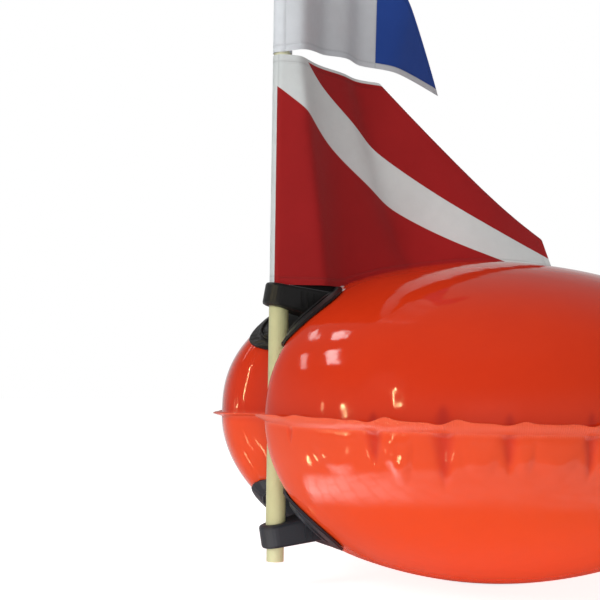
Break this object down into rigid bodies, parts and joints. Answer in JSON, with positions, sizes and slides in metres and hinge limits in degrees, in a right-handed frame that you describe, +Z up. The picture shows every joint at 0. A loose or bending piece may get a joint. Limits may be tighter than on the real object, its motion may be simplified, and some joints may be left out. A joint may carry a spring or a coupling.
{
  "type": "dive float buoy",
  "caption": "Round inflatable surface float with a notched mast end, two clamp brackets, a sectional mast and two swivelling signal flags.",
  "frame": {"origin": "centre of the flat facet under the float", "axes": "+Z up along the mast, -X towards the mast end, Y across the notch"},
  "size_m": [0.5987, 0.6088, 0.8112],
  "materials": {
    "orange_pvc": "glossy inflated PVC sheet",
    "orange_pvc_lower": "glossy inflated PVC sheet",
    "black_moulding": "satin moulded plastic",
    "black_moulding_lower": "satin moulded plastic",
    "cream_tube": "satin extruded tube",
    "pole_tube": "satin extruded tube",
    "foot_tube": "satin extruded tube",
    "black_cap": "moulded cap",
    "foot_plug_grey": "moulded plug",
    "signal_cloth": "woven flag cloth, white and blue",
    "diver_cloth": "woven flag cloth, red with a white diagonal",
    "valve_grey": "soft moulded valve",
    "valve_cap_black": "soft moulded stopper",
    "black_webbing": "woven webbing",
    "ring_steel": "polished steel wire",
    "patch_pvc": "welded PVC patch"
  },
  "bodies": {
    "float": {"upper_panel": "orange_pvc", "lower_panel": "orange_pvc_lower", "upper_mast_bracket": "black_moulding", "lower_mast_bracket": "black_moulding_lower", "valve_body": "valve_grey", "tow_patch": "patch_pvc", "tow_keeper": "black_webbing", "left_patch": "patch_pvc", "left_keeper": "black_webbing", "right_patch": "patch_pvc", "right_keeper": "black_webbing"},
    "mast": {"mast_tube": "cream_tube", "foot_pole": "foot_tube", "foot_plug": "foot_plug_grey"},
    "flag_pole": {"upper_pole": "pole_tube", "pole_cap": "black_cap"},
    "signal_flag": {"signal_flag": "signal_cloth"},
    "diver_flag": {"diver_flag": "diver_cloth"},
    "valve_plug": {"valve_plug": "valve_cap_black"},
    "tow_ring": {"tow_ring": "ring_steel"},
    "left_ring": {"left_ring": "ring_steel"},
    "right_ring": {"right_ring": "ring_steel"}
  },
  "joints": [
    {"name": "mast_lift", "type": "slide", "parent": "float", "child": "mast", "axis": [0, 0, 1], "range_m": [0, 0.12]},
    {"name": "upper_pole_pull", "type": "slide", "parent": "mast", "child": "flag_pole", "axis": [0, 0, 1], "range_m": [0, 0.04]},
    {"name": "signal_flag_swivel", "type": "hinge", "parent": "flag_pole", "child": "signal_flag", "pos_m": [-0.2501, 0, 0.6], "axis": [0, 0, 1], "continuous": true},
    {"name": "diver_flag_swivel", "type": "hinge", "parent": "flag_pole", "child": "diver_flag", "pos_m": [-0.2501, 0, 0.4], "axis": [0, 0, 1], "range_deg": [0, 150]},
    {"name": "valve_plug_pull", "type": "slide", "parent": "float", "child": "valve_plug", "axis": [0.3693, 0, 0.9293], "range_m": [0, 0.012]},
    {"name": "tow_ring_swing", "type": "hinge", "parent": "float", "child": "tow_ring", "pos_m": [0.28054, 0, 0.25477], "axis": [0, 1, 0], "range_deg": [-165, 0]},
    {"name": "left_ring_swing", "type": "hinge", "parent": "float", "child": "left_ring", "pos_m": [0.02932, 0.279, 0.25477], "axis": [-0.9945, 0.1045, 0], "range_deg": [-165, 0]},
    {"name": "right_ring_swing", "type": "hinge", "parent": "float", "child": "right_ring", "pos_m": [0.02932, -0.279, 0.25477], "axis": [0.9945, 0.1045, 0], "range_deg": [-165, 0]}
  ]
}
